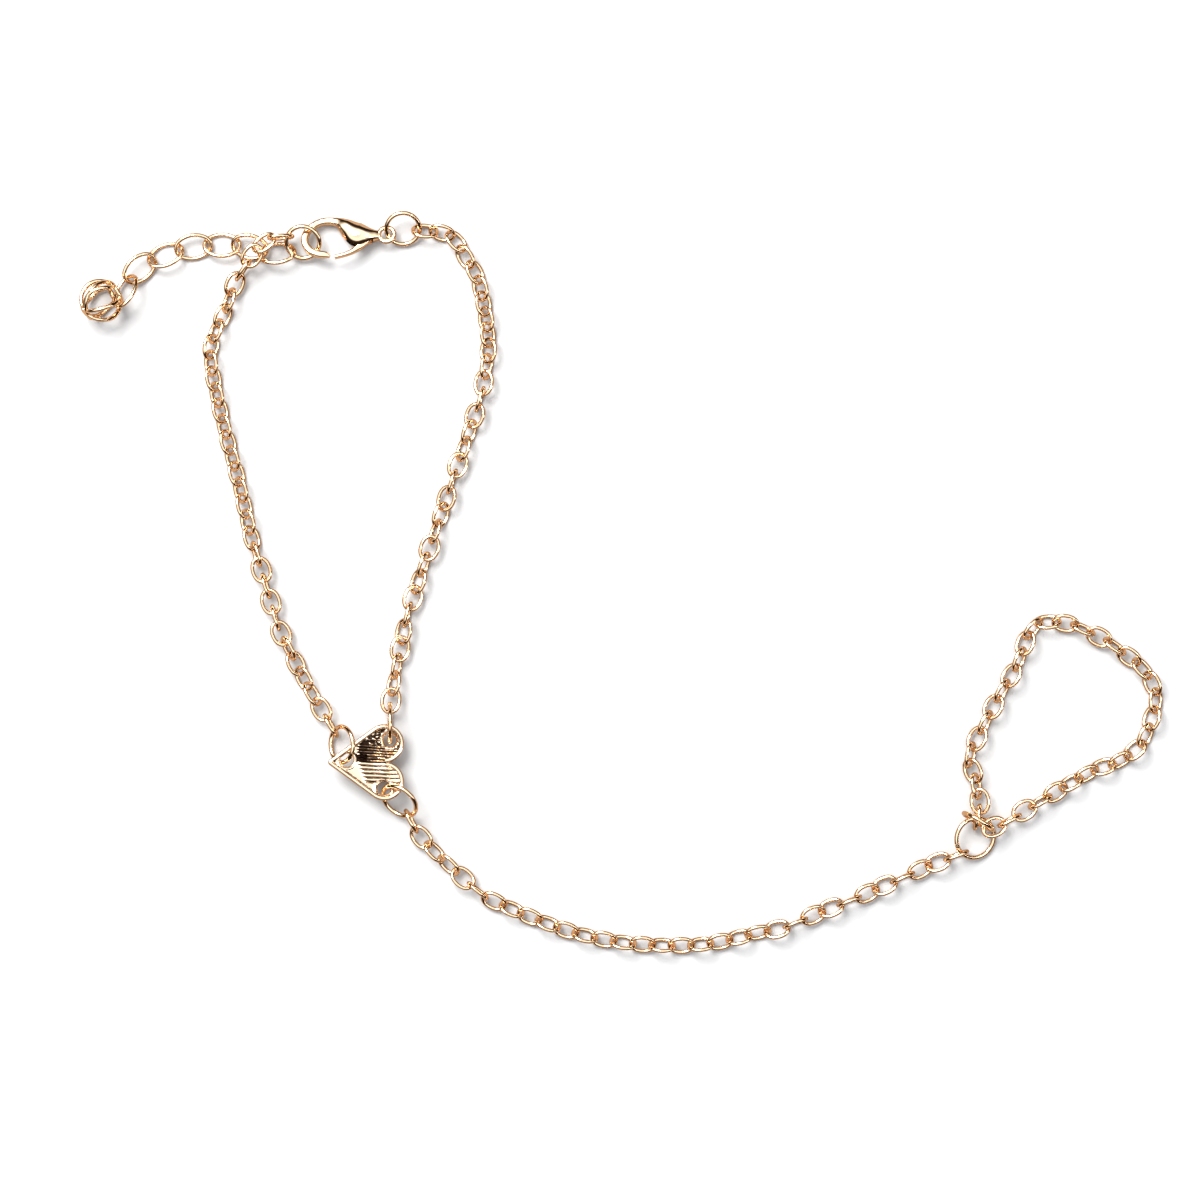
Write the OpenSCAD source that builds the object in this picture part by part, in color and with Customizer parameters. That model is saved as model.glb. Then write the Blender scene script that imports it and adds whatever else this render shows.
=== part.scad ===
// Hand chain bracelet lying open: a wrist chain in two strands with a sprung clasp and an
// extender, a cast heart link, a chain over the back of the hand and a finger loop.
// Millimetres, +Z up. +X is to the right and +Y away, as it lies.

/* [Fine chain] */
// length of a fine link over its wire
link_l = 3.56; // [3.46:0.02:3.66]
// width of a fine link over its wire
link_w = 2.7; // [2.6:0.05:2.8]
// wire of the fine links
link_wire = 0.44; // [0.4:0.01:0.46]

/* [Extender] */
// length of an extender link over its wire
ext_l = 5.06; // [4.96:0.02:5.16]
// width of an extender link over its wire
ext_w = 3.6; // [3.4:0.05:3.8]
// wire of the extender links
ext_wire = 0.46; // [0.42:0.01:0.48]
// diameter of the cage ball
ball_d = 5.6; // [5.2:0.1:6]

/* [Rings] */
// wire of the jump rings
ring_wire = 0.52; // [0.46:0.01:0.54]
// diameter over the wire of the rings at the clasp and at the extender
small_ring_d = 4.85; // [4.75:0.05:4.95]
// diameter over the wire of the ring at the heart's point
tip_ring_d = 5.15; // [5.05:0.05:5.25]
// diameter over the wire of the two rings in the heart's lobes
lobe_ring_d = 5.45; // [5.35:0.05:5.55]
// diameter over the wire of the ring at the end of the hand chain
finger_ring_d = 5.8; // [5.65:0.05:5.95]

/* [Clasp] */
// length of the clasp body from hook to eye
clasp_l = 12; // [11.9:0.05:12.1]
// roll of the clasp as it lies, gate side up
clasp_roll = 15; // [10:1:18]
// thickness of the lever
lever_t = 0.9; // [0.8:0.05:1]
// diameter of the rivet
rivet_d = 0.7; // [0.6:0.02:0.74]

/* [Heart] */
// length of the heart from its point to its lobes
heart_l = 9.8; // [9.5:0.1:10.1]
// thickness of the heart at its rim
heart_t = 1.2; // [1.1:0.05:1.3]
// depth of the recess inside the rim
recess_depth = 0.35; // [0.2:0.05:0.45]
// height of the raised ridges over the floor of the recess
ridge_h = 0.3; // [0.2:0.05:0.4]
// diameter of the three ring holes
hole_d = 1.9; // [1.8:0.05:2]
// tilt of the heart as it lies
heart_tilt = 9; // [8:0.5:10]

/* [Play] */
// free play between two linked wires along the chain
play = 0.13; // [0.1:0.01:0.15]

/* [Hidden] */
$fn = 36;
gold = [0.9, 0.68, 0.55];
pale = [0.93, 0.74, 0.62];
// the whole piece is moved by this to put the middle of its base on the origin
centre = [0.169, 0.421, -0.037];

// centre-line radii of the rings
small_r = (small_ring_d - ring_wire) / 2;
tip_r = (tip_ring_d - ring_wire) / 2;
lobe_r = (lobe_ring_d - ring_wire) / 2;
finger_r = (finger_ring_d - ring_wire) / 2;

// middle of the clasp, and its eye in shares of its length, x towards the eye
clasp_at = [-35.9, 45.3, 1.55];
eye = [0.447, 0.038];

// where each ring lies: [x, y, height of its middle, bearing of its high side, tilt]
clasp_ring_at = [clasp_at[0] + eye[0] * clasp_l + 2.136,
                 clasp_at[1] + eye[1] * clasp_l + 0.744, 1.55, 100, 28];
extender_ring_at = [clasp_at[0] - 0.436 * clasp_l - 0.268, 44.7, 1.75, 90, 24];
tip_ring_at = [-36.3, -20.5, 2.3, 0, 47];
upper_ring_at = [-30.0, -17.7, 2.95, 0, 86];
lower_ring_at = [-28.8, -27.8, 2.75, 52, 47];
finger_ring_at = [46.0, -32.7, 1.25, 150, 20];
finger_link_ring_at = [46.2, -30.45, 3.15, 59, 84];
// the ball's middle, the bearing of its open end and how far that end dips
ball_at = [-67.47, 37.05, ball_d / 2 - 0.2];
ball_turn = 32;
ball_dip = 20;
// wire of the ball, and the radius of the collar round its open end
ball_wire = 0.42;
ball_r = (ball_d - ball_wire) / 2;
collar_r = 1.5;
collar_x = sqrt(ball_r * ball_r - collar_r * collar_r);
// the place on the collar that the last extender link goes round, and its angle
hold_at = 25;
collar_hold = ball_at
    + collar_x * [cos(ball_dip) * cos(ball_turn), cos(ball_dip) * sin(ball_turn), -sin(ball_dip)]
    + collar_r * cos(hold_at) * [sin(ball_turn), -cos(ball_turn), 0]
    + collar_r * sin(hold_at)
        * [sin(ball_dip) * cos(ball_turn), sin(ball_dip) * sin(ball_turn), cos(ball_dip)];

// a point on the wire of a ring, at an angle from its high side
function hang(where, r, a) =
    let (c = r * cos(a) * cos(where[4]), s = r * sin(a))
    [where[0] + c * cos(where[3]) - s * sin(where[3]),
     where[1] + c * sin(where[3]) + s * cos(where[3]),
     where[2] + r * cos(a) * sin(where[4])];
// the height of a link's middle over the floor, for the roll of it and its neighbour
function rest(w, d, lean, spread) =
    d / 2 + (w - d) / 2 * max(abs(sin(lean + spread)), abs(sin(lean - spread)));
// the first or last row of a route, at the wire that its end link goes round
function tied(h, w, d, lean, spread, share) =
    [h[0], h[1], h[2] - rest(w, d, lean, spread), lean, spread, share];
function tied_fine(h, lean, spread, share) = tied(h, link_w, link_wire, lean, spread, share);

// routes of the strands, with columns
// [x, y, lift off the rest, mean roll, half the roll between neighbours, pitch as a share]
left_route = [
    tied_fine(hang(tip_ring_at, tip_r, 132) + [0, 0, 0.15], 45, 45, 1),
    [-41.1, -12.4, 0, 6, 45, 0.88],
    [-44.3, -6.0, 0, -32, 45, 0.85],
    [-45.0, -4.0, 0, -45, 45, 0.85],
    [-46.9, 2.4, 0, -45, 45, 0.85],
    [-48.2, 6.6, 0, 0, 47, 0.85],
    [-49.7, 13.2, 0, 0, 47, 0.84],
    [-51.9, 21.6, 0, 0, 47, 0.83],
    [-53.4, 29.1, 0, 0, 48, 0.83],
    [-53.1, 32.3, 0, 0, 50, 0.84],
    [-51.4, 36.2, 0, -5, 50, 0.86],
    [-50.1, 39.7, 0.15, -20, 48, 0.88],
    [-48.8, 41.5, 0.75, -45, 45, 0.9],
    [-47.6, 43.2, 1.6, -15, 45, 0.9],
    [-46.1, 44.7, 1.55, 15, 45, 0.9],
    [-44.7, 45.3, 1.1, 35, 45, 0.95],
    tied_fine(hang(extender_ring_at, small_r, 74), 50, 45, 1)];
right_route = [
    tied_fine(hang(clasp_ring_at, small_r, 251) + [0, 0, 0.1], 90, 46, 0.9),
    [-23.3, 46.0, 0, 90, 46, 0.85],
    [-21.5, 44.9, 0, 90, 47, 0.87],
    [-20.3, 42.8, 0, 90, 47, 0.95],
    [-19.0, 40.8, 0, 90, 47, 0.88],
    [-18.0, 37.1, 0, 90, 47, 0.8],
    [-17.3, 31.4, 0, 85, 46, 0.8],
    [-17.9, 26.7, 0, 65, 45, 0.85],
    [-18.3, 24.6, 0, 45, 45, 0.87],
    [-21.9, 14.0, 0, 135, 45, 0.89],
    [-25.0, 4.9, 0, 225, 45, 0.89],
    [-27.8, -3.7, 0, 320, 45, 0.89],
    [-29.2, -10.3, 0, 425, 45, 0.89],
    tied_fine(hang(upper_ring_at, lobe_r, 118), 495, 45, 0.89)];
hand_route = [
    tied_fine(hang(lower_ring_at, lobe_r, 239), -135, 45, 0.985),
    [-25.9, -32.8, 0, -115, 45, 0.985],
    [-22.4, -36.3, 0, -85, 45, 0.985],
    [-18.7, -39.5, 0, -45, 45, 0.985],
    [-16.0, -41.2, 0, -10, 45, 0.985],
    [-7.2, -44.7, 0, -10, 45, 0.985],
    [0.2, -46.3, 0, -10, 45, 0.985],
    [7.7, -46.7, 0, -10, 45, 0.985],
    [12.8, -46.2, 0, -10, 45, 0.985],
    [17.9, -45.0, 0, 0, 45, 0.985],
    [20.6, -44.5, 0, 15, 45, 0.985],
    [25.3, -42.6, 0, 75, 45, 0.985],
    [32.2, -39.8, 0, 165, 45, 0.985],
    [39.1, -36.7, 0, 255, 45, 0.985],
    tied_fine(hang(finger_ring_at, finger_r, 78), 325, 45, 0.985)];
finger_route = [
    tied_fine(hang(finger_link_ring_at, small_r, 238), -45, 45, 0.85),
    [50.4, -30.4, 0.1, -45, 45, 0.92],
    [52.3, -29.2, 0, -45, 45, 0.93],
    [56.7, -26.6, 0, -20, 45, 0.93],
    [60.9, -24.2, 0, 0, 45, 0.93],
    [64.9, -22.6, 0, 0, 45, 0.93],
    [67.4, -20.7, 0, 0, 45, 0.93],
    [68.6, -18.3, 0, 0, 45, 0.93],
    [69.5, -15.0, 0, 0, 45, 0.92],
    [69.0, -12.5, 0, 0, 45, 0.92],
    [67.7, -10.6, 0, 0, 45, 0.92],
    [63.9, -7.6, 0, 20, 45, 0.93],
    [59.5, -5.3, 0, 20, 45, 0.93],
    [56.9, -4.7, 0, 10, 45, 0.93],
    [54.5, -4.8, 0, 0, 45, 0.85],
    [53.0, -6.3, 0, -15, 45, 0.85],
    [51.4, -10.3, 0, -35, 45, 0.92],
    [49.2, -14.1, 0, -45, 45, 0.92],
    [47.0, -18.3, 0, -45, 45, 0.92],
    [45.3, -22.2, 0, -45, 45, 0.88],
    [46.0, -24.8, 0, -40, 45, 0.8],
    [46.2, -26.6, 0.1, -35, 42, 0.8],
    [46.6, -28.0, 0.1, -40, 45, 0.82],
    tied_fine(hang(finger_link_ring_at, small_r, 181) + [0, 0, 0.25], -45, 45, 0.85)];
extender_route = [
    tied(hang(extender_ring_at, small_r, 116) + [0, 0, 0.05], ext_w, ext_wire, 16, 27, 1),
    [-45.3, 43.3, 0.2, 4, 26, 1],
    [-48.3, 44.2, 0.05, 0, 25, 0.97],
    [-51.2, 44.4, 0, 0, 22, 0.97],
    [-55.2, 44.3, 0, 0, 22, 1],
    [-59.1, 43.2, 0, 0, 27, 1],
    [-62.3, 41.6, 0, 3, 32, 1],
    [-63.4, 40.65, 0.05, 4, 34, 1],
    [-64.1, 39.2, 0.35, 5, 35, 0.95],
    tied(collar_hold, ext_w, ext_wire, 5, 35, 0.95)];

// a smooth curve through the rows of a table
function curve(p, i, t) =
    let (a = p[max(i - 1, 0)], b = p[i], c = p[i + 1], d = p[min(i + 2, len(p) - 1)])
    0.5 * (2 * b + (c - a) * t + (2 * a - 5 * b + 4 * c - d) * t * t
           + (3 * b - a - 3 * c + d) * t * t * t);
function fine(p, n) = concat(
    [for (i = [0:len(p) - 2]) for (s = [0:n - 1]) curve(p, i, s / n)], [p[len(p) - 1]]);
function laid(q, w, d) =
    [for (r = q) [r[0], r[1], rest(w, d, r[3], r[4]) + r[2], r[3], r[4], r[5]]];
function legs(q) = [for (i = [1:len(q) - 1])
    norm([for (c = [0:2]) q[i][c] - q[i - 1][c]]) * 2 / (q[i][5] + q[i - 1][5])];
function sums(v) = concat([0],
    [for (a = 0, i = 0; i < len(v); a = a + v[i], i = i + 1) a + v[i]]);
function at(q, s, t, c) = lookup(t, [for (i = [0:len(q) - 1]) [s[i], q[i][c]]]);
function spot(q, s, t) = [for (c = [0:2]) at(q, s, t, c)];

// one oval link: two tight ends joined by two flatter sides, soldered
module oval_link(l, w, d) {
    a = (l - d) / 2;
    b = (w - d) / 2;
    end_r = 0.807 * b;
    side_r = (pow(a - end_r, 2) + b * b - end_r * end_r) / (2 * (b - end_r));
    turn = atan2(side_r - b, a - end_r);
    bury = 0.05 / side_r * 57.3;
    for (m = [0, 180]) rotate([0, 0, m]) {
        translate([a - end_r, 0, 0]) rotate([0, 0, -turn])
            rotate_extrude(angle = 2 * turn) translate([end_r, 0]) circle(d = d);
        translate([0, b - side_r, 0]) rotate([0, 0, turn - bury])
            rotate_extrude(angle = 180 - 2 * turn + 2 * bury)
                translate([side_r, 0]) circle(d = 0.97 * d);
    }
}

// a strand of links along a route, planned is the number of links at the named sizes
module strand(route, l, w, d, planned) {
    q = laid(fine(route, 6), w, d);
    s = sums(legs(q));
    taut = l - 2 * d - play;
    hold = l / 2 - d - 2 * play - ring_wire / 2;
    s0 = hold;
    s1 = s[len(s) - 1] - hold;
    n = 1 + round((s1 - s0) / taut);
    step = (s1 - s0) / (n - 1);
    extra = (n - planned) % 2 == 0 ? 0 : 90;
    for (k = [0:n - 1]) {
        t = s0 + k * step;
        p = spot(q, s, t);
        u = spot(q, s, t + step / 2) - spot(q, s, t - step / 2);
        side = k % 2 == 0 ? 1 : -1;
        roll = at(q, s, t, 3) + extra * k / (n - 1) + side * at(q, s, t, 4);
        translate(p) rotate([roll, -atan2(u[2], norm([u[0], u[1]])), atan2(u[1], u[0])])
            oval_link(l, w, d);
    }
}

module wrist_chain_left()
    color(gold) strand(left_route, link_l, link_w, link_wire, 33);
module wrist_chain_right()
    color(gold) strand(right_route, link_l, link_w, link_wire, 31);
module hand_chain()
    color(gold) strand(hand_route, link_l, link_w, link_wire, 32);
module finger_chain()
    color(gold) strand(finger_route, link_l, link_w, link_wire, 34);
module extender_chain()
    color(gold) strand(extender_route, ext_l, ext_w, ext_wire, 7);

// a closed round ring at its place
module ring_at(where, r)
    color(pale) translate([where[0], where[1], where[2]]) rotate([0, -where[4], where[3]])
        rotate_extrude() translate([r, 0]) circle(d = ring_wire);
module clasp_ring() ring_at(clasp_ring_at, small_r);
module extender_ring() ring_at(extender_ring_at, small_r);
module heart_tip_ring() ring_at(tip_ring_at, tip_r);
module heart_upper_ring() ring_at(upper_ring_at, lobe_r);
module heart_lower_ring() ring_at(lower_ring_at, lobe_r);
module finger_ring() ring_at(finger_ring_at, finger_r);
module finger_link_ring() ring_at(finger_link_ring_at, small_r);

// extender ball: six ribs from an open collar to a cap, and a slanting half hoop over them
module extender_ball()
    color(gold) translate(ball_at) {
        rotate([0, 90 + ball_dip, ball_turn]) {
            for (m = [0:5]) rotate([0, 0, 60 * m - 60 - hold_at]) rotate([90, 0, 0]) rotate([0, 0, -85])
                rotate_extrude(angle = 175 - asin(collar_r / ball_r))
                    translate([ball_r, 0]) circle(d = ball_wire);
            translate([0, 0, collar_x]) rotate_extrude()
                translate([collar_r, 0]) circle(d = 1.1 * ball_wire);
            translate([0, 0, -ball_r]) cylinder(h = ball_wire, r = 0.24 * ball_r, center = true);
        }
        rotate([0, 57, ball_turn - 60]) rotate([0, 0, 90]) rotate_extrude(angle = 180)
            translate([ball_r, 0]) circle(d = ball_wire);
    }

// clasp, in shares of its length from its middle, x towards the eye and y away from the gate
// columns of the body: [x, y, half width, half thickness]
body_rows = [
    [0.362, 0.028, 0.05, 0.05], [0.314, 0.025, 0.062, 0.065], [0.206, 0.02, 0.112, 0.095],
    [0.112, 0.044, 0.14, 0.1], [0, 0.125, 0.085, 0.085], [-0.098, 0.18, 0.043, 0.055],
    [-0.238, 0.186, 0.036, 0.043], [-0.341, 0.141, 0.037, 0.042],
    [-0.417, 0.06, 0.038, 0.042], [-0.436, -0.043, 0.038, 0.042],
    [-0.39, -0.135, 0.039, 0.042], [-0.298, -0.184, 0.037, 0.042],
    [-0.215, -0.196, 0.034, 0.036], [-0.165, -0.212, 0.016, 0.024]];
// columns of the lever: [x, y, half width]
lever_rows = [
    [-0.11, -0.222, 0.019], [0, -0.192, 0.021], [0.095, -0.148, 0.026],
    [0.175, -0.082, 0.04], [0.24, -0.008, 0.05], [0.275, 0.012, 0.035]];
pivot = [0.235, -0.005];
eye_d = 0.213;
eye_wire = 0.047;

module in_clasp() translate(clasp_at) rotate([-clasp_roll, 0, 0]) children();

// a bar swept along rows of [x, y, half width, half thickness], with rounded sections
module swept(rows, sides) {
    n = len(rows);
    pts = [for (i = [0:n - 1])
        let (a = rows[max(i - 1, 0)], b = rows[min(i + 1, n - 1)],
             u = [b[0] - a[0], b[1] - a[1]] / norm([b[0] - a[0], b[1] - a[1]]))
        for (k = [0:sides - 1])
            let (c = cos(360 * (k + 0.5) / sides), s = sin(360 * (k + 0.5) / sides),
                 f = sign(c) * pow(abs(c), 0.7), g = sign(s) * pow(abs(s), 0.7))
            [rows[i][0] - u[1] * rows[i][2] * f, rows[i][1] + u[0] * rows[i][2] * f,
             rows[i][3] * g]];
    faces = concat(
        [[for (k = [0:sides - 1]) k]],
        [for (i = [0:n - 2]) for (k = [0:sides - 1])
            [i * sides + k, (i + 1) * sides + k,
             (i + 1) * sides + (k + 1) % sides, i * sides + (k + 1) % sides]],
        [[for (k = [sides - 1:-1:0]) (n - 1) * sides + k]]);
    polyhedron(points = pts, faces = faces, convexity = 6);
}

module clasp_body()
    color(pale) in_clasp() difference() {
        union() {
            swept(fine(body_rows, 3) * clasp_l, 12);
            translate(eye * clasp_l) rotate_extrude()
                translate([(eye_d - eye_wire) / 2 * clasp_l, 0]) circle(d = eye_wire * clasp_l);
        }
        translate([0.14 * clasp_l, -0.1 * clasp_l, 0])
            cube([0.33 * clasp_l, 0.33 * clasp_l, lever_t + 0.24], center = true);
        translate(pivot * clasp_l) cylinder(h = clasp_l, d = rivet_d + 0.08, center = true);
    }

module clasp_lever()
    color(pale) in_clasp() difference() {
        swept([for (r = fine(lever_rows, 3) * clasp_l) concat(r, [lever_t / 2])], 12);
        translate(pivot * clasp_l) cylinder(h = clasp_l, d = rivet_d + 0.14, center = true);
    }

module clasp_rivet()
    color(pale) in_clasp() translate(pivot * clasp_l)
        cylinder(h = 0.18 * clasp_l, d = rivet_d, center = true);

// heart, in millimetres from the middle of its outline, point to the left
heart_at = [-33.0, -22.8, 2.8];
heart_k = heart_l / 9.8;
lobe = [2.3, 2.45] * heart_k;
lobe_rad = 2.5 * heart_k;
point_x = -4.6 * heart_k;
rim = 0.5;

module half_heart(side, r, h, edge)
    hull() {
        translate([lobe[0], side * lobe[1], 0]) {
            cylinder(h = h, r = r - edge, center = true);
            cylinder(h = h - 2 * edge, r = r, center = true);
        }
        translate([point_x + lobe_rad - r, 0, 0]) {
            cylinder(h = h, r = 0.4 - edge, center = true);
            cylinder(h = h - 2 * edge, r = 0.4, center = true);
        }
    }

module heart()
    color(gold) translate(heart_at) rotate([0, 0, 225]) rotate([0, -heart_tilt, 0])
        rotate([0, 0, -225]) difference() {
            union() {
                difference() {
                    union() for (side = [-1, 1]) half_heart(side, lobe_rad, heart_t, 0.2);
                    translate([0, 0, heart_t - recess_depth]) {
                        for (side = [-1, 1]) half_heart(side, lobe_rad - rim, heart_t, 0);
                        translate([0.6 * heart_k, 0, 0])
                            cube([4.4 * heart_k, 1.6 * heart_k, heart_t], center = true);
                    }
                }
                for (k = [-4:4]) translate([heart_k * (1.2 - 0.12 * abs(k)),
                        0.45 * k * heart_k, heart_t / 2 - recess_depth])
                    rotate([0, 90, 0]) cylinder(h = heart_k * (4.6 - 0.3 * abs(k)),
                        r = ridge_h * 0.66, center = true);
            }
            for (p = [[-2.6, 0.3], [2.95, 2.9], [2.2, -3.4]])
                translate([p[0] * heart_k, p[1] * heart_k, 0])
                    cylinder(h = 4 * heart_t, d = hole_d, center = true);
        }

module placed() translate(-centre) children();

placed() wrist_chain_left();
placed() wrist_chain_right();
placed() hand_chain();
placed() finger_chain();
placed() extender_chain();
placed() extender_ball();
placed() clasp_body();
placed() clasp_lever();
placed() clasp_rivet();
placed() clasp_ring();
placed() extender_ring();
placed() heart();
placed() heart_tip_ring();
placed() heart_upper_ring();
placed() heart_lower_ring();
placed() finger_ring();
placed() finger_link_ring();
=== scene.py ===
import math

import bmesh
import bpy
import numpy as np
from mathutils import Matrix, Vector, geometry, noise


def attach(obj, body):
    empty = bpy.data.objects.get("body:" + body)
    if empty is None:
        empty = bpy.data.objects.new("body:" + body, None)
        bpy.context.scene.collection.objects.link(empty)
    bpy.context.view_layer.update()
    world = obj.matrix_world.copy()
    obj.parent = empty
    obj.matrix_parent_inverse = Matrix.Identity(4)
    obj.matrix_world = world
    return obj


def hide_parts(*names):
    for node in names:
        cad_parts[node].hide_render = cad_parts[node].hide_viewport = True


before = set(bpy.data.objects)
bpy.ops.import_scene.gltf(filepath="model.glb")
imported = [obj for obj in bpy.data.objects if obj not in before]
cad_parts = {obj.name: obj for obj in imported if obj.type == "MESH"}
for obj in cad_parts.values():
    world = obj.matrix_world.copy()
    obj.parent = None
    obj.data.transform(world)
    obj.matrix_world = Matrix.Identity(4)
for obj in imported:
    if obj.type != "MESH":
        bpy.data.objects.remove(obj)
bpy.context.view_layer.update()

# Camera: straight above the open bracelet, as the photograph has it, 156 mm of table across.
# A long lens keeps the small heights of rings and clasp from leaning outwards.
view_middle, camera_height = (-0.002964, -0.002176), 0.4348
camera_data = bpy.data.cameras.new("camera")
camera_data.lens = 100
camera_data.sensor_width = 36
camera_data.clip_start = 0.01
camera_data.clip_end = 20
camera = bpy.data.objects.new("camera", camera_data)
camera.location = (*view_middle, camera_height)
bpy.context.scene.collection.objects.link(camera)
bpy.context.scene.camera = camera

# Table: a plain white sheet of studio paper that the piece lies on, matt and very slightly mottled.
# It runs far past the view on all sides. Glossy rays see it in a darker, warmer colour, a painted
# dark reflection that lays dark edges along the polished metal.
def tone_by(ramp, stops):
    """Give a colour ramp its places and colours, from the lowest to the highest."""
    marks = ramp.color_ramp.elements
    while len(marks) < len(stops):
        marks.new(0.5)
    for mark, (place, colour) in zip(marks, stops):
        mark.position = place
        mark.color = (*colour, 1)

def clouds(tree, scale, detail):
    """A cloudy pattern that stays with the piece, with so many clouds a metre."""
    where = tree.nodes.new("ShaderNodeTexCoord")
    cloud = tree.nodes.new("ShaderNodeTexNoise")
    cloud.inputs["Scale"].default_value = scale
    cloud.inputs["Detail"].default_value = detail
    tree.links.new(where.outputs["Object"], cloud.inputs["Vector"])
    return cloud.outputs["Fac"]

def by_ray(tree, ray, usual, special):
    """A colour that gives way to another one for a single kind of ray."""
    path = tree.nodes.new("ShaderNodeLightPath")
    mix = tree.nodes.new("ShaderNodeMix")
    mix.data_type = "RGBA"
    mix.inputs["B"].default_value = (*special, 1)
    tree.links.new(path.outputs[ray], mix.inputs["Factor"])
    tree.links.new(usual, mix.inputs["A"])
    return mix.outputs["Result"]

paper_size, paper_drop = 3, 0.00002
paper_tones = [(0.0, (0.56, 0.562, 0.567)), (1.0, (0.575, 0.577, 0.582))]
paper_painted_reflection = (0.33, 0.24, 0.17)
bpy.ops.mesh.primitive_grid_add(x_subdivisions=4, y_subdivisions=4, size=paper_size,
                                location=(0, 0, -paper_drop))
table = bpy.context.object
table.name = "table_paper"
paper = bpy.data.materials.new("paper_white")
paper.use_nodes = True
tree = paper.node_tree
shader = tree.nodes["Principled BSDF"]
shader.inputs["Roughness"].default_value = 0.9
shader.inputs["Specular IOR Level"].default_value = 0.1
tone = tree.nodes.new("ShaderNodeValToRGB")
tone_by(tone, paper_tones)
tree.links.new(clouds(tree, scale=900, detail=3), tone.inputs["Fac"])
# Painted reflection: mirrored in the metal, the paper shows a darker, warmer colour than it has.
shown = by_ray(tree, "Is Glossy Ray", tone.outputs["Color"], paper_painted_reflection)
tree.links.new(shown, shader.inputs["Base Color"])
table.data.materials.append(paper)

# Light: one soft box up and to the left, a weaker one to the right, and a pale studio dome.
# The dome stays dark all round up to some 40 degrees, which draws the dark lines along the wires.
def soft_box(name, place, size, power, colour):
    """A square lamp with a wide soft face, turned to the middle of the table."""
    data = bpy.data.lights.new(name, "AREA")
    data.shape = "RECTANGLE"
    data.size = size[0]
    data.size_y = size[1]
    data.energy = power
    data.color = colour
    lamp = bpy.data.objects.new(name, data)
    lamp.location = place
    lamp.rotation_euler = (-Vector(place)).to_track_quat("-Z", "Y").to_euler()
    bpy.context.scene.collection.objects.link(lamp)

soft_box("key_box", (-0.27, 0.37, 0.62), size=(0.4, 0.4), power=9.5, colour=(1, 0.985, 0.96))
soft_box("side_box", (0.5, -0.1, 0.5), size=(0.1, 0.5), power=0.9, colour=(0.94, 0.97, 1))
dome_axis, dome_strength = (-0.15, 0.17, 0.974), 1.7
dome_bands = [(0.0, (0.015, 0.011, 0.009)), (0.45, (0.015, 0.012, 0.01)), (0.61, (0.035, 0.022, 0.015)),
              (0.68, (0.4, 0.41, 0.42)), (0.77, (0.92, 0.94, 0.96)), (0.92, (0.88, 0.89, 0.91)),
              (1.0, (0.7, 0.71, 0.72))]
backdrop = (0.93, 0.93, 0.94)
world = bpy.data.worlds.new("studio_dome")
bpy.context.scene.world = world
world.use_nodes = True
tree = world.node_tree
dome = tree.nodes["Background"]
where = tree.nodes.new("ShaderNodeTexCoord")
height = tree.nodes.new("ShaderNodeVectorMath")
height.operation = "DOT_PRODUCT"
height.inputs[1].default_value = dome_axis
tree.links.new(where.outputs["Generated"], height.inputs[0])
bands = tree.nodes.new("ShaderNodeValToRGB")
bands.color_ramp.interpolation = "EASE"
tone_by(bands, dome_bands)
tree.links.new(height.outputs["Value"], bands.inputs["Fac"])
tree.links.new(by_ray(tree, "Is Camera Ray", bands.outputs["Color"], backdrop), dome.inputs["Color"])
dome.inputs["Strength"].default_value = dome_strength
bpy.context.scene.view_settings.view_transform = "Standard"
bpy.context.scene.view_settings.look = "None"

# Fine chains: soldered oval links of drawn brass wire, plated in warm rose gold and tumbled bright.
# Each link is swept again over its solid, a little squarer and of round, slightly worn wire. Some
# links of the finger loop are turned further about their length, as they lie in the photograph.
MM = 0.001

def polish(tree, haze, haze_span, roughness, grain, grain_depth):
    """Bare metal whose haze sets how dull it is, with a fine grain raised on it."""
    shader = tree.nodes["Principled BSDF"]
    shader.inputs["Metallic"].default_value = 1
    dull = tree.nodes.new("ShaderNodeMapRange")
    dull.inputs["From Min"].default_value, dull.inputs["From Max"].default_value = haze_span
    dull.inputs["To Min"].default_value, dull.inputs["To Max"].default_value = roughness
    tree.links.new(haze, dull.inputs["Value"])
    tree.links.new(dull.outputs["Result"], shader.inputs["Roughness"])
    bump = tree.nodes.new("ShaderNodeBump")
    bump.inputs["Strength"].default_value = 0.5
    bump.inputs["Distance"].default_value = grain_depth
    tree.links.new(grain, bump.inputs["Height"])
    tree.links.new(bump.outputs["Normal"], shader.inputs["Normal"])

def gilt(name, colour, roughness, grain_size, grain_depth):
    """Rose gold plate that clouds a little towards a redder tone where it is thin."""
    made = bpy.data.materials.new(name)
    made.use_nodes = True
    tree = made.node_tree
    thin_shares, thin_at, full_at = (0.95, 0.88, 0.8), 0.3, 0.62
    thin = tuple(part * share for part, share in zip(colour, thin_shares))
    tint = tree.nodes.new("ShaderNodeValToRGB")
    tone_by(tint, [(thin_at, thin), (full_at, colour)])
    tree.links.new(clouds(tree, scale=420, detail=4), tint.inputs["Fac"])
    tree.links.new(tint.outputs["Color"], tree.nodes["Principled BSDF"].inputs["Base Color"])
    grain = clouds(tree, grain_size, detail=5)
    polish(tree, haze=grain, haze_span=(0.35, 0.7), roughness=(roughness * 0.7, roughness * 1.5),
           grain=grain, grain_depth=grain_depth)
    return made

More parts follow.
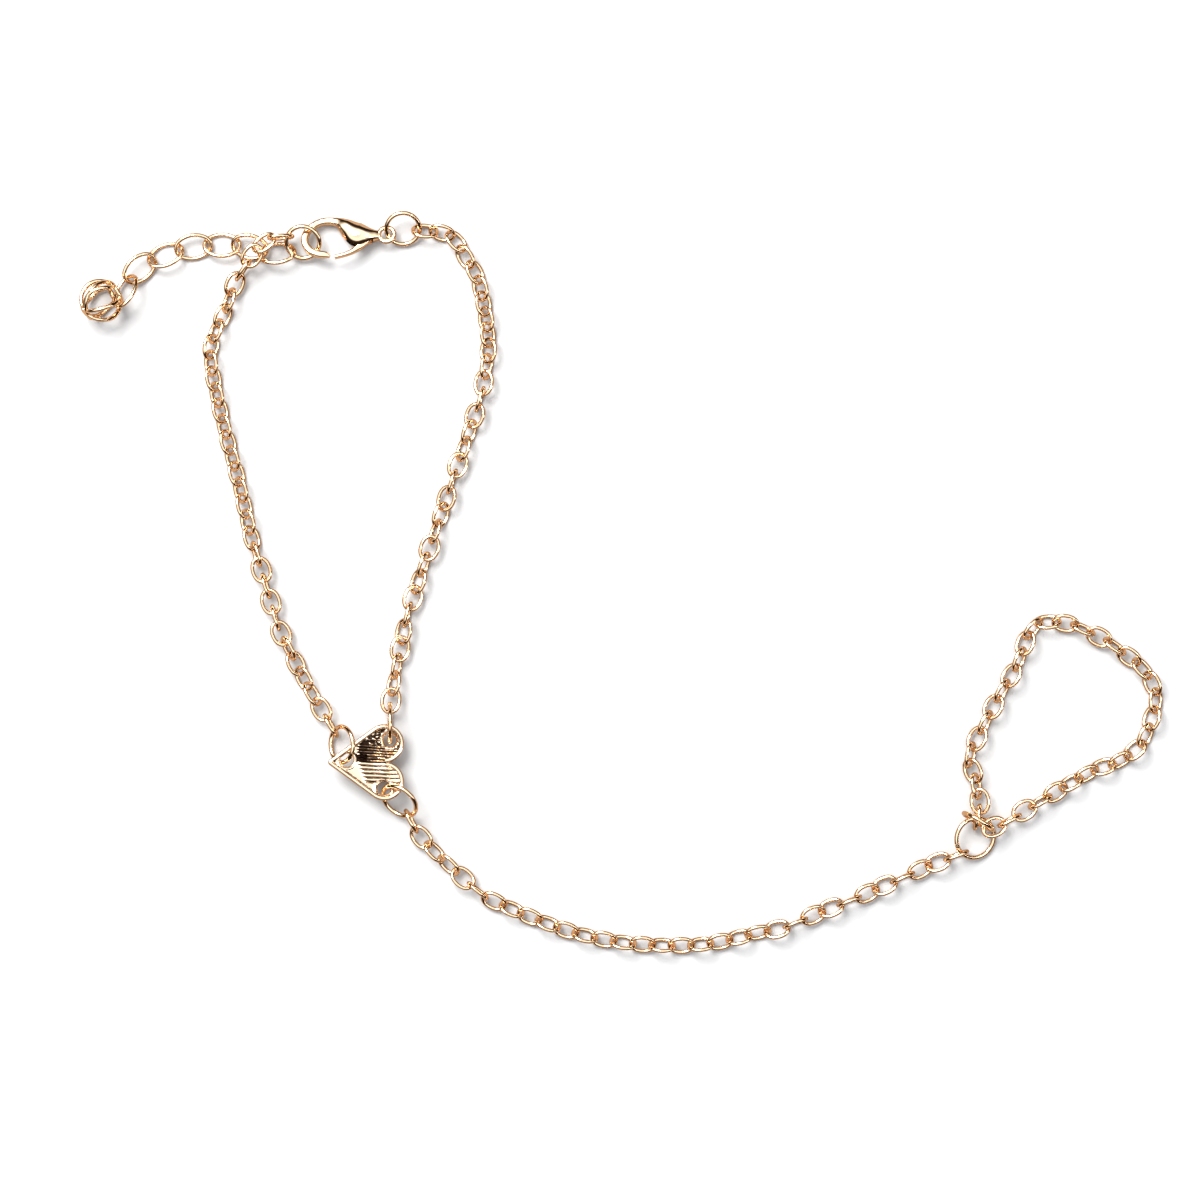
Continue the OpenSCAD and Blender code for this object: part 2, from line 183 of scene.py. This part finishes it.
def lying(node):
    """Centre and axes (long, short, normal) of each loose solid of a node, from its surface."""
    bm = bmesh.new()
    bm.from_mesh(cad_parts[node].data)
    bmesh.ops.remove_doubles(bm, verts=bm.verts, dist=2e-7)
    bm.verts.ensure_lookup_table()
    seen = [False] * len(bm.verts)
    found = []
    for start in bm.verts:
        if seen[start.index]:
            continue
        seen[start.index] = True
        stack, faces = [start], {}
        while stack:
            v = stack.pop()
            for f in v.link_faces:
                faces[f.index] = f
                for w in f.verts:
                    if not seen[w.index]:
                        seen[w.index] = True
                        stack.append(w)
        mid = np.array([f.calc_center_median()[:] for f in faces.values()])
        area = np.array([f.calc_area() for f in faces.values()])[:, None]
        centre = (mid * area).sum(0) / area.sum()
        spread = ((mid - centre) * area).T @ (mid - centre)
        _, axes = np.linalg.eigh(spread)
        axes = axes[:, ::-1].T
        axes[2] = np.cross(axes[0], axes[1])
        found.append((centre, axes))
    bm.free()
    return found

def tube(line, radii, sides, up, closed=True):
    """Points and faces of a round wire along a line; up says which way its sections are turned."""
    n = len(line)
    if closed:
        ahead = np.roll(line, -1, 0) - np.roll(line, 1, 0)
    else:
        ahead = np.gradient(line, axis=0)
    ahead /= np.linalg.norm(ahead, axis=1)[:, None]
    up = np.broadcast_to(np.asarray(up, float), line.shape)
    out = np.cross(ahead, up)
    out /= np.linalg.norm(out, axis=1)[:, None]
    top = np.cross(out, ahead)
    a = np.arange(sides) * 2 * np.pi / sides
    r = np.broadcast_to(np.asarray(radii, float), (n,))[:, None, None]
    ring = np.cos(a)[None, :, None] * out[:, None] + np.sin(a)[None, :, None] * top[:, None]
    points = (line[:, None] + r * ring).reshape(-1, 3)
    faces = []
    for i in range(n if closed else n - 1):
        j = (i + 1) % n
        for k in range(sides):
            m = (k + 1) % sides
            faces.append((i * sides + k, j * sides + k, j * sides + m, i * sides + m))
    if not closed:
        faces.append(tuple(range(sides)))
        faces.append(tuple((n - 1) * sides + k for k in reversed(range(sides))))
    return points, faces

def piece(name, parts, material, sharp=40):
    """One mesh object from several (points, faces), smooth but for edges past the given angle."""
    points, faces, base = [], [], 0
    for p, f in parts:
        points.append(np.asarray(p))
        faces += [tuple(base + i for i in face) for face in f]
        base += len(p)
    mesh = bpy.data.meshes.new(name)
    mesh.from_pydata(np.vstack(points).tolist(), [], faces)
    bm = bmesh.new()
    bm.from_mesh(mesh)
    bmesh.ops.recalc_face_normals(bm, faces=bm.faces)
    bm.to_mesh(mesh)
    bm.free()
    mesh.materials.append(material)
    mesh.shade_smooth()
    mesh.set_sharp_from_angle(angle=math.radians(sharp))
    made = bpy.data.objects.new(name, mesh)
    bpy.context.scene.collection.objects.link(made)
    return made

def turned(axes, ahead, roll):
    """The axes of a link turned about its length, as seen along the strand."""
    side = 1 if axes[0] @ ahead > 0 else -1
    short, normal = side * axes[1], axes[2]
    return np.array([side * axes[0], math.cos(roll) * short + math.sin(roll) * normal,
                     math.cos(roll) * normal - math.sin(roll) * short])

chain_gilt = gilt("gilt_chain", (0.98, 0.72, 0.48), roughness=0.06, grain_size=2600, grain_depth=0.000001)
link_length, link_width, solid_wire, wire_r = 3.56, 2.7, 0.44, 0.25
link_squareness, link_wear, wear_step, wear_shift = 0.92, 0.02, 0.9, 1.7
most_roll, first_rolled, last_rolled, roll_fade = math.radians(30), 22, 32, 3
a = np.radians(np.arange(0, 360, 6) + 3)
squared = np.stack([np.sign(np.cos(a)) * np.abs(np.cos(a)) ** link_squareness,
                    np.sign(np.sin(a)) * np.abs(np.sin(a)) ** link_squareness, 0 * a], 1)
link_line = squared * [(link_length - solid_wire) / 2, (link_width - solid_wire) / 2, 1] * MM
for node in ("wrist_chain_left", "wrist_chain_right", "hand_chain", "finger_chain"):
    parts = []
    solids = lying(node)
    for k, (centre, axes) in enumerate(solids):
        if node == "finger_chain":
            ahead = solids[min(k + 1, len(solids) - 1)][0] - solids[max(k - 1, 0)][0]
            share = min(k + 1 - first_rolled, last_rolled + 1 - k) / roll_fade
            axes = turned(axes, ahead, most_roll * max(min(share, 1), 0))
        wave = np.sin(np.arange(len(link_line)) * wear_step + k * wear_shift)
        worn_r = wire_r * MM * (1 + link_wear * wave)
        points, faces = tube(link_line, worn_r, sides=14, up=(0, 0, 1))
        parts.append((points @ axes + centre, faces))
    links = piece(node + "_links", parts, chain_gilt)
    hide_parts(node)
    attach(links, "bracelet")

# Extender: seven larger open ovals bent from wire and pressed shut, not soldered.
# Each has its butt seam in one long side, with a slightly pinched wire beside it.
def oval(l, w, wire, end_steps, side_steps):
    """Centre line of an oval link: tight ends joined by flatter sides, in its own plane."""
    end_share = 0.807
    a, b = (l - wire) / 2, (w - wire) / 2
    end = end_share * b
    side = ((a - end) ** 2 + b * b - end * end) / (2 * (b - end))
    turn = math.atan2(side - b, a - end)
    line = []
    for m in (1, -1):
        for i in range(end_steps):
            t = turn * (2 * i / end_steps - 1)
            line.append((m * (a - end + end * math.cos(t)), m * end * math.sin(t), 0))
        for i in range(side_steps):
            t = turn + (math.pi - 2 * turn) * i / side_steps
            line.append((m * side * math.cos(t), m * (b - side + side * math.sin(t)), 0))
    return np.array(line)

def seamed(line, start, wire, gap):
    """A bent wire whose pinched ends meet with a hair's gap at one point of its line."""
    line = np.roll(line, -start, 0)
    ahead = line[1] - line[0]
    ahead /= np.linalg.norm(ahead)
    first = line[0] + ahead * gap / 2
    last = line[0] - ahead * gap / 2
    line = np.vstack([first, first + ahead * gap, line[1:], last - ahead * gap, last])
    pinch = 0.44
    radii = np.full(len(line), wire / 2)
    radii[0] = radii[-1] = wire * pinch
    return tube(line, radii, sides=16, up=(0, 0, 1), closed=False)

ring_gilt = gilt("gilt_rings", (0.98, 0.74, 0.5), roughness=0.05, grain_size=2200, grain_depth=0.000001)
ext_length, ext_width, ext_solid_wire, ext_wire, ext_gap = 5.06, 3.6, 0.46, 0.52, 0.03
end_steps, side_steps = 18, 18
near_side = end_steps + side_steps // 2
far_side = near_side + end_steps + side_steps
ext_line = oval(ext_length, ext_width, ext_solid_wire, end_steps, side_steps) * MM
parts = []
for k, (centre, axes) in enumerate(lying("extender_chain")):
    points, faces = seamed(ext_line, near_side if k % 2 else far_side, ext_wire * MM, ext_gap * MM)
    parts.append((points @ axes + centre, faces))
extender = piece("extender_links", parts, ring_gilt)
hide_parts("extender_chain")
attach(extender, "bracelet")

# Jump rings: round wire wound on a mandrel, sawn apart and closed by hand with two pliers.
# The saw cut stays as a fine seam, turned away from where the chain ends hang.
ring_solid_wire, ring_wire, saw_cut = 0.52, 0.58, 0.035
# Each row: node, width across outside in mm, and where the seam is, in degrees.
ring_list = [("clasp_ring", 4.85, 60), ("extender_ring", 4.85, 150), ("heart_tip_ring", 5.15, 300),
             ("heart_upper_ring", 5.45, 200), ("heart_lower_ring", 5.45, 340),
             ("finger_ring", 5.8, 250), ("finger_link_ring", 4.85, 30)]
for node, across, seam in ring_list:
    (centre, axes), = lying(node)
    a = np.radians(np.arange(0, 360, 5) + seam)
    line = np.stack([np.cos(a), np.sin(a), 0 * a], 1) * (across - ring_solid_wire) / 2 * MM
    if axes[2][2] < 0:
        axes = np.array([axes[0], -axes[1], -axes[2]])
    level = np.array([1.0, 0, 0]) - axes[2] * axes[2][0]
    axes[0] = level / np.linalg.norm(level)
    axes[1] = np.cross(axes[2], axes[0])
    points, faces = seamed(line, 0, ring_wire * MM, saw_cut * MM)
    ring = piece(node + "_wire", [(points @ axes + centre, faces)], ring_gilt)
    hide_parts(node)
    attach(ring, "bracelet")

# Ball: a small cast cage, six ribs from an open collar to a button, and a half hoop across them.
# The ribs are a little uneven and swell towards the middle, as the wax model left them.
cast_gilt = gilt("gilt_cast", (0.98, 0.75, 0.52), roughness=0.08, grain_size=1500, grain_depth=0.000004)
ball_r, collar_r = 2.59, 1.5
rib_wire_r, collar_wire_r, hoop_wire_r = 0.28, 0.3, 0.29
rib_count, first_rib, rib_steps, rib_end = 6, 5, 34, 0.06
rib_sway, calm_sway = 0.16, 0.4
rib_thin, rib_swell, rib_ripple, collar_ripple, hoop_taper = 0.86, 0.22, 0.04, 0.06, 0.12
collar_out = math.sqrt(ball_r ** 2 - collar_r ** 2)
# Places are in mm from the mark that the piece was drawn from, which lies this far from its middle.
drawn_from = np.array([0.169, 0.421, -0.037])
ball_at = np.array([-67.47, 37.05, 2.6]) - drawn_from
parts = []
for m in range(rib_count):
    b = math.radians(360 / rib_count * m + first_rib)
    a = np.linspace(math.asin(collar_r / ball_r), math.pi - rib_end, rib_steps)
    twist = b + rib_sway * np.sin(2 * a) * (1 if m % 2 else calm_sway)
    line = np.stack([np.cos(a), np.sin(a) * np.cos(twist), np.sin(a) * np.sin(twist)], 1)
    wire = rib_wire_r * (rib_thin + rib_swell * np.sin(a) ** 2 + rib_ripple * np.sin(5 * a + m))
    parts.append(tube(line * ball_r, wire, sides=12, up=line, closed=False))
a = np.radians(np.arange(0, 360, 5))
collar = np.stack([0 * a + collar_out, collar_r * np.cos(a), collar_r * np.sin(a)], 1)
wire = collar_wire_r * (1 + collar_ripple * np.sin(3 * a))
parts.append(tube(collar, wire, sides=14, up=(1, 0, 0)))
# Each row of the button: place along the ball's axis from its far end, and radius.
button = [(-0.3, 0.01), (-0.29, 0.3), (-0.2, 0.55), (0.0, 0.64), (0.16, 0.58), (0.25, 0.3), (0.26, 0.01)]
line = np.array([(h - ball_r, 0, 0) for h, r in button])
parts.append(tube(line, [r for h, r in button], sides=24, up=(0, 0, 1), closed=False))
dip, aside = math.radians(20), math.radians(32)
tip_down = np.array([[math.cos(dip), 0, math.sin(dip)], [0, 1, 0], [-math.sin(dip), 0, math.cos(dip)]])
swing = np.array([[math.cos(aside), -math.sin(aside), 0], [math.sin(aside), math.cos(aside), 0], [0, 0, 1]])
parts = [(p @ (swing @ tip_down).T, f) for p, f in parts]
a = np.radians(np.linspace(92, 268, 50))
hoop_dip, hoop_aside = math.radians(57), math.radians(-28)
across = np.stack([np.cos(a) * math.cos(hoop_dip), np.sin(a), -np.cos(a) * math.sin(hoop_dip)], 1)
hoop = np.stack([across[:, 0] * math.cos(hoop_aside) - across[:, 1] * math.sin(hoop_aside),
                 across[:, 0] * math.sin(hoop_aside) + across[:, 1] * math.cos(hoop_aside),
                 across[:, 2]], 1)
wire = hoop_wire_r * (1 - hoop_taper * np.cos(a) ** 2)
parts.append(tube(hoop * ball_r, wire, sides=12, up=hoop, closed=False))
ball = piece("extender_ball_cage", [((p + ball_at) * MM, f) for p, f in parts], cast_gilt)
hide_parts("extender_ball")
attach(ball, "bracelet")

# Clasp: a die-cast lobster clasp, hollow for its spring, with a flat-sided hook and a cast eye.
# The body is swept along the same rows as its solid, a little smoother, and rounder at the belly.
# Then the lever's slot is cut out of it. It closes over the rivet's ends, which are plated over.
clasp_length, clasp_edge = 12.0, 50
clasp_at = np.array([-35.9, 45.3, 1.55]) - drawn_from
lean = math.radians(-15)
clasp_turn = np.array([[1, 0, 0], [0, math.cos(lean), -math.sin(lean)],
                       [0, math.sin(lean), math.cos(lean)]])

def through(rows, n):
    """Rows of numbers made n times finer along a smooth curve."""
    rows = np.asarray(rows, float)
    out = []
    for i in range(len(rows) - 1):
        a, b, c, d = rows[max(i - 1, 0)], rows[i], rows[i + 1], rows[min(i + 2, len(rows) - 1)]
        for s in range(n):
            t = s / n
            out.append(0.5 * (2 * b + (c - a) * t + (2 * a - 5 * b + 4 * c - d) * t * t
                              + (3 * b - a - 3 * c + d) * t ** 3))
    out.append(rows[-1])
    return np.array(out)

def bar(rows, sides, power):
    """A bar swept along rows of [x, y, half width, half thickness], with rounded-square sections."""
    n = len(rows)
    power = np.broadcast_to(power, (n,))[:, None]
    ahead = np.gradient(rows[:, :2], axis=0)
    ahead /= np.linalg.norm(ahead, axis=1)[:, None]
    a = (np.arange(sides) + 0.5) * 2 * np.pi / sides
    f = np.sign(np.cos(a)) * np.abs(np.cos(a)) ** power
    g = np.sign(np.sin(a)) * np.abs(np.sin(a)) ** power
    x = rows[:, 0:1] - ahead[:, 1:2] * rows[:, 2:3] * f
    y = rows[:, 1:2] + ahead[:, 0:1] * rows[:, 2:3] * f
    points = np.stack([x, y, rows[:, 3:4] * g], 2).reshape(-1, 3)
    faces = [tuple(range(sides)), tuple((n - 1) * sides + k for k in reversed(range(sides)))]
    for i in range(n - 1):
        for k in range(sides):
            m = (k + 1) % sides
            faces.append((i * sides + k, (i + 1) * sides + k, (i + 1) * sides + m, i * sides + m))
    return points, faces

def laid(points):
    """Points of the clasp's own drawing, in shares of its length, put where it lies."""
    return (np.asarray(points) * clasp_length @ clasp_turn.T + clasp_at) * MM

def carve(blank, cutter):
    """Cut the shape of one piece out of another for good."""
    cut = blank.modifiers.new("cut", "BOOLEAN")
    cut.object = cutter
    cut.operation = "DIFFERENCE"
    cut.solver = "EXACT"
    bpy.context.view_layer.update()
    result = blank.evaluated_get(bpy.context.evaluated_depsgraph_get())
    mesh = bpy.data.meshes.new_from_object(result)
    blank.modifiers.clear()
    blank.data = mesh
    mesh.shade_smooth()
    mesh.set_sharp_from_angle(angle=math.radians(clasp_edge))
    bpy.data.objects.remove(cutter)

clasp_gilt = gilt("gilt_clasp", (0.96, 0.74, 0.52), roughness=0.07, grain_size=1300, grain_depth=0.000002)
# Each row: x, y, half width and half thickness, in shares of the clasp's length, nose to hook's tip.
body_rows = [
    [0.362, 0.028, 0.05, 0.05], [0.314, 0.026, 0.062, 0.065], [0.206, 0.026, 0.117, 0.095],
    [0.112, 0.045, 0.136, 0.1], [0, 0.128, 0.09, 0.085], [-0.098, 0.18, 0.045, 0.055],
    [-0.238, 0.186, 0.037, 0.043], [-0.341, 0.141, 0.038, 0.042],
    [-0.417, 0.06, 0.039, 0.042], [-0.436, -0.043, 0.04, 0.042],
    [-0.39, -0.135, 0.041, 0.042], [-0.298, -0.184, 0.039, 0.042],
    [-0.215, -0.196, 0.035, 0.036], [-0.165, -0.212, 0.016, 0.024]]
body_line = through(body_rows, n=8)
hook_squareness, belly_roundness, belly_from, belly_fade = 0.62, 0.36, 0.05, 0.06
belly = np.clip((body_line[:, 2] - belly_from) / belly_fade, 0, 1)
points, faces = bar(body_line, sides=32, power=hook_squareness + belly_roundness * belly)
clasp = piece("clasp_body_shell", [(laid(points), faces)], clasp_gilt, clasp_edge)
slot_from, slot_to, slot_half = (-0.025, -0.265), (0.305, 0.065), 0.0475
slot_points = [[x, y, z] for x in (slot_from[0], slot_to[0]) for y in (slot_from[1], slot_to[1])
               for z in (-slot_half, slot_half)]
slot_faces = [(0, 1, 3, 2), (4, 6, 7, 5), (0, 4, 5, 1), (2, 3, 7, 6), (0, 2, 6, 4), (1, 5, 7, 3)]
carve(clasp, piece("slot_cutter", [(laid(slot_points), slot_faces)], clasp_gilt))
eye_at, eye_r, eye_wire_r = (0.447, 0.038), 0.083, 0.0235
a = np.radians(np.arange(0, 360, 6))
eye = np.stack([eye_at[0] + eye_r * np.cos(a), eye_at[1] + eye_r * np.sin(a), 0 * a], 1)
points, faces = tube(eye, eye_wire_r, sides=16, up=(0, 0, 1))
clasp_eye = piece("clasp_eye", [(laid(points), faces)], clasp_gilt, clasp_edge)
for made in (clasp, clasp_eye):
    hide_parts("clasp_body")
    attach(made, "bracelet")

# Lever: the clasp's gate, a stamped strip with a swelling round the rivet and a thumb tail.
# It is bored for the rivet, closes on the hook's tip, and the hidden spring holds it shut.
lever_rows = [
    [-0.11, -0.222, 0.019, 0.0375], [0, -0.192, 0.021, 0.0375], [0.095, -0.148, 0.026, 0.0375],
    [0.175, -0.082, 0.04, 0.0375], [0.24, -0.008, 0.05, 0.0375], [0.275, 0.012, 0.035, 0.0375]]
points, faces = bar(through(lever_rows, n=8), sides=24, power=0.6)
lever = piece("clasp_lever_strip", [(laid(points), faces)], clasp_gilt, clasp_edge)
pin_at, bore_r = (0.235, -0.005), 0.39
bore = np.array([[*pin_at, z] for z in (-0.1, -0.03, 0.03, 0.1)])
points, faces = tube(bore, bore_r / clasp_length, sides=48, up=(1, 0, 0), closed=False)
carve(lever, piece("bore_cutter", [(laid(points), faces)], clasp_gilt))
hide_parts("clasp_lever")
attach(lever, "lever")

# Rivet: a plain pin through the body and the lever, filed flush and plated over.
# Its solid has the right shape, so it stays and takes the clasp's finish.
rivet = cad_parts["clasp_rivet"]
rivet.data.materials.clear()
rivet.data.materials.append(clasp_gilt)

# Heart: a cast link lying on its front, so its hollow back shows, with a rim, ridges and three holes.
# The hollow gets painted shade in its grooves and recesses, and the upper lobe is left rough from the
# mould.
heart_gilt = bpy.data.materials.new("gilt_heart")
heart_gilt.use_nodes = True
tree = heart_gilt.node_tree
# The point attribute read here carries painted shade: it turns the gold near black and dulls it.
painted_shade = tree.nodes.new("ShaderNodeAttribute")
painted_shade.attribute_name = "painted_shade"
grain = clouds(tree, scale=3000, detail=5)
# Grain plus painted shade sets both the painted darkening and the roughness.
shade_and_grain = tree.nodes.new("ShaderNodeMath")
shade_and_grain.operation = "MULTIPLY_ADD"
shade_and_grain.inputs[1].default_value = 0.5
tree.links.new(grain, shade_and_grain.inputs[0])
tree.links.new(painted_shade.outputs["Fac"], shade_and_grain.inputs[2])
# Gold turns near black where the painted shade is strong.
tint = tree.nodes.new("ShaderNodeValToRGB")
tone_by(tint, [(0.3, (0.93, 0.72, 0.53)), (0.95, (0.03, 0.016, 0.01))])
tree.links.new(shade_and_grain.outputs["Value"], tint.inputs["Fac"])
tree.links.new(tint.outputs["Color"], tree.nodes["Principled BSDF"].inputs["Base Color"])
polish(tree, haze=shade_and_grain.outputs["Value"], haze_span=(0.2, 1.2), roughness=(0.14, 0.42),
       grain=grain, grain_depth=0.00002)

heart_at = np.array([-33.0, -22.8, 2.8]) - drawn_from
tip_way, tip_angle = math.radians(225), math.radians(-9)
lobe_x, lobe_y, lobe_r = 2.3, 2.45, 2.5
point_x, point_r, point_least_r = -4.6, 0.4, 0.1
flank_slope = math.radians(36.2)
holes = [(-2.6, 0.3), (2.95, 2.9), (2.2, -3.4)]
hole_r, hole_wall = 0.9, 0.05
hollow_inset, front_inset = 0.58, 0.3

def outline(inset):
    """The heart's outline drawn in by a distance, always with the same count of points."""
    lobe_steps, flank_steps, point_steps = 44, 24, 6
    big = lobe_r - inset
    small = max(point_r - inset, point_least_r)
    tip = point_x + max(inset - point_r + point_least_r, 0) / math.sin(flank_slope)
    dx, dy = lobe_x - tip, lobe_y
    normal = math.atan2(dy, dx) + math.acos((small - big) / math.hypot(dx, dy))
    notch = -math.asin(lobe_y / big) if big > lobe_y else -math.pi / 2
    half = []
    for i in range(lobe_steps + 1):
        t = notch + (normal - notch) * i / lobe_steps
        half.append((lobe_x + big * math.cos(t), lobe_y + big * math.sin(t)))
    a, b = half[-1], (tip + small * math.cos(normal), small * math.sin(normal))
    for i in range(1, flank_steps):
        half.append((a[0] + (b[0] - a[0]) * i / flank_steps, a[1] + (b[1] - a[1]) * i / flank_steps))
    for i in range(point_steps):
        t = normal + (math.pi - normal) * i / point_steps
        half.append((tip + small * math.cos(t), small * math.sin(t)))
    full = half + [(tip - small, 0)] + [(x, -y) for x, y in reversed(half[1:])]
    return np.array(full)

def gap_to(border, x, y):
    """How far a point lies from the nearest point of a border."""
    d = border - np.array([x, y])
    return math.sqrt((d * d).sum(1).min())

def inside_of(border, x, y):
    """Whether a point lies within a closed border."""
    a, b = border, np.roll(border, -1, 0)
    hit = (a[:, 1] > y) != (b[:, 1] > y)
    with np.errstate(divide="ignore", invalid="ignore"):
        at = a[:, 0] + (y - a[:, 1]) / (b[:, 1] - a[:, 1]) * (b[:, 0] - a[:, 0])
    return bool((hit & (x < at)).sum() % 2)

def fade(way, length):
    """A share that grows from 0 to 1 along a length and then stays."""
    return max(min(way / length, 1), 0)

def to_hole(x, y):
    """How far a point lies from the middle of the nearest hole."""
    return min(math.hypot(x - hx, y - hy) for hx, hy in holes)

hollow_edge = outline(hollow_inset)
# In mm, with painted shade from 0 to 1: the ridges, the black painted shade in the corner beside them, the
# rough beads, the bowl of the hollow, the lips round the holes and the plain front.
ridge_rise, ridge_start, ridge_lean, first_groove, groove_edge = 0.2, -1.45, 0.4, 0.02, 0.7
upper_ridge, lower_ridge, upper_groove, lower_groove = 0.37, 0.5, 0.42, 0.26
ridges_from, ridges_to, rough_from = -2.75, 2.3, 2.25
groove_shade, lobe_shade, lower_groove_shade = 0.95, 0.35, 0.8
corner_from, corner_to, corner_top, corner_shade = -1.5, 0, 0.95, 0.9
bead_rise, bead_shade, plain_shade, beads_from, plain_to = 0.3, 1.1, 0.7, -1.6, -1.3
bowl_low, bowl_rise, bowl_reach = -0.05, 0.36, 2.3
lip_at, lip_half, lip_rise = 1.12, 0.26, 0.14
clear_from, clear_over, hole_shade = 1.1, 0.25, 0.2
front_low, front_swell = -0.6, 0.06

def ridged(x, y, slant):
    """Height and painted shade of the ridges, close and shaded black in the upper lobe, wide in the lower
    one.
    """
    upper = slant > 0
    row = (slant - first_groove) / (upper_ridge if upper else lower_ridge)
    start = ridge_start if upper else ridge_start + ridge_lean * max(-y, 0)
    inside = fade(x - start, 0.5) * (fade(ridges_to - slant, 0.08) * fade(slant - ridges_from, 0.1))
    groove = max(1 - abs(row - round(row)) / (upper_groove if upper else lower_groove), 0) ** groove_edge
    # Painted shade: black in the grooves, growing towards the left of the upper lobe, black in the corner
    # beside the ridges, lighter in the lower lobe's grooves.
    if upper:
        corner = (corner_from < x < corner_to) * (slant < corner_top)
        dark = (groove_shade * groove + lobe_shade * fade(1.6 - x, 2.4)) * inside + corner_shade * corner
    else:
        dark = lower_groove_shade * groove * inside
    return ridge_rise * (1 - groove) * inside, dark

def beaded(x, y):
    """Height and painted shade of the rough beads that a crumbling mould left above the ridges."""
    cell = noise.voronoi(Vector((x * 1.5, y * 1.9, 3.1)))[0]
    bead = cell[1] - cell[0]
    high = bead_rise * min(bead * 1.6, 1) if x > beads_from else 0
    # Painted shade in the gaps between the beads, and an even painted shade over the ground left of them.
    return high, (bead_shade * max(1 - bead * 2.6, 0) if x > plain_to else plain_shade)

def back_height(x, y):
    """Height of the hollow back over the heart's middle plane, and how much painted shade it gets."""
    slant = y + 0.06 * (x - 1) + 0.02 * math.sin(2.1 * x + 2.3 * y)
    high, dark = ridged(x, y, slant)
    if slant > rough_from:
        bead, dark = beaded(x, y)
        high += bead
    bowl = bowl_low + bowl_rise * max(1 - gap_to(hollow_edge, x, y) / bowl_reach, 0) ** 2
    clear = fade(to_hole(x, y) - clear_from, clear_over)
    lip = max(1 - abs(to_hole(x, y) - lip_at) / lip_half, 0)
    # Painted shade from the ridges and beads, faded out near the holes into a light painted shade round
    # them.
    return bowl + high * clear + lip_rise * lip * (2 - lip), dark * clear + hole_shade * (1 - clear)

def front_height(x, y):
    """Height of the plain front, which swells slightly away from the holes, and no darkness."""
    swell = min(gap_to(hollow_edge, x, y) / 1.2, 1) * fade(to_hole(x, y) - 1.0, 0.5)
    return front_low - front_swell * swell, 0.0

def filled(border, height_of, dx, dy):
    """A sheet inside a border and round the three holes, with its heights from a function."""
    hole_steps, least_area, hole_margin, border_margin = 32, 3e-6, 0.07, 0.06
    points = [tuple(p) for p in border]
    loops = [list(range(len(points)))]
    for hx, hy in holes:
        base = len(points)
        for i in range(hole_steps):
            c, s = math.cos(2 * math.pi * i / hole_steps), math.sin(2 * math.pi * i / hole_steps)
            reach = hole_r
            while not inside_of(border, hx + (reach + hole_wall) * c, hy + (reach + hole_wall) * s):
                reach -= 0.01
            points.append((hx + reach * c, hy + reach * s))
        loops.append(list(range(base, base + hole_steps)))
    bored = [np.array([points[i] for i in loop]) for loop in loops[1:]]
    for row, y in enumerate(np.arange(-5.0, 5.0, dy)):
        for x in np.arange(-5.1 + (dx / 2 if row % 2 else 0), 4.9, dx):
            if to_hole(x, y) < hole_r + hole_margin or gap_to(border, x, y) < border_margin:
                continue
            if inside_of(border, x, y):
                points.append((x, y))
    lines = [(loop[i], loop[(i + 1) % len(loop)]) for loop in loops for i in range(len(loop))]
    sheet, _, faces, _, _, _ = geometry.delaunay_2d_cdt([Vector(p) for p in points], lines, [], 0, 1e-7)
    kept = []
    for f in faces:
        a, b, c = (sheet[i] for i in f)
        cx, cy = (a + b + c) / 3
        if abs((b - a).cross(c - a)) < least_area or any(inside_of(loop, cx, cy) for loop in bored):
            continue
        if inside_of(border, cx, cy):
            kept.append(tuple(f))
    heights = [height_of(x, y) for x, y in sheet]
    out = [(x, y, high) for (x, y), (high, _) in zip(sheet, heights)]
    return out, kept, [dark for _, dark in heights], loops

points, faces, dark = [], [], []
back, back_faces, back_dark, back_loops = filled(hollow_edge, back_height, 0.13, 0.07)
points += back
faces += back_faces
dark += back_dark
base = len(points)
front, front_faces, front_dark, front_loops = filled(outline(front_inset), front_height, 0.3, 0.3)
points += front
faces += [tuple(base + i for i in reversed(f)) for f in front_faces]
dark += front_dark
# Each step of the rim, from the hollow over the top and down to the front: how far in, and height.
rim_steps = [(0.55, 0.38), (0.5, 0.52), (0.42, 0.59), (0.3, 0.61), (0.18, 0.6), (0.07, 0.54),
             (0.01, 0.42), (0.0, 0.1), (0.0, -0.3), (0.04, -0.46), (0.14, -0.56)]
# The rim's innermost step, at the foot of the hollow, gets painted shade.
rim_painted_shade, shaded_rim_from = 0.45, 0.52
n = len(back_loops[0])
previous = back_loops[0]
for inset, z in rim_steps:
    start = len(points)
    points += [(x, y, z) for x, y in outline(inset)]
    dark += [rim_painted_shade if inset > shaded_rim_from else 0.0] * n
    current = list(range(start, start + n))
    for i in range(n):
        j = (i + 1) % n
        faces.append((previous[i], previous[j], current[j], current[i]))
    previous = current
# The rim's last step meets the front, and each hole gets its wall.
current = [base + i for i in front_loops[0]]
for i in range(n):
    j = (i + 1) % n
    faces.append((previous[i], previous[j], current[j], current[i]))
for top, low in zip(back_loops[1:], front_loops[1:]):
    m = len(top)
    for i in range(m):
        j = (i + 1) % m
        faces.append((top[i], base + low[i], base + low[j], top[j]))
turn = Matrix.Rotation(tip_way, 3, "Z") @ Matrix.Rotation(tip_angle, 3, "Y")
turn = turn @ Matrix.Rotation(-tip_way, 3, "Z")
placed = (np.array(points) @ np.array(turn).T + heart_at) * MM
heart = piece("heart_cast", [(placed, faces)], heart_gilt, 60)
# The painted shade goes on the mesh as a point attribute that the heart's material reads.
layer = heart.data.attributes.new("painted_shade", "FLOAT", "POINT")
layer.data.foreach_set("value", np.array(dark, np.float32))
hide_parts("heart")
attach(heart, "bracelet")
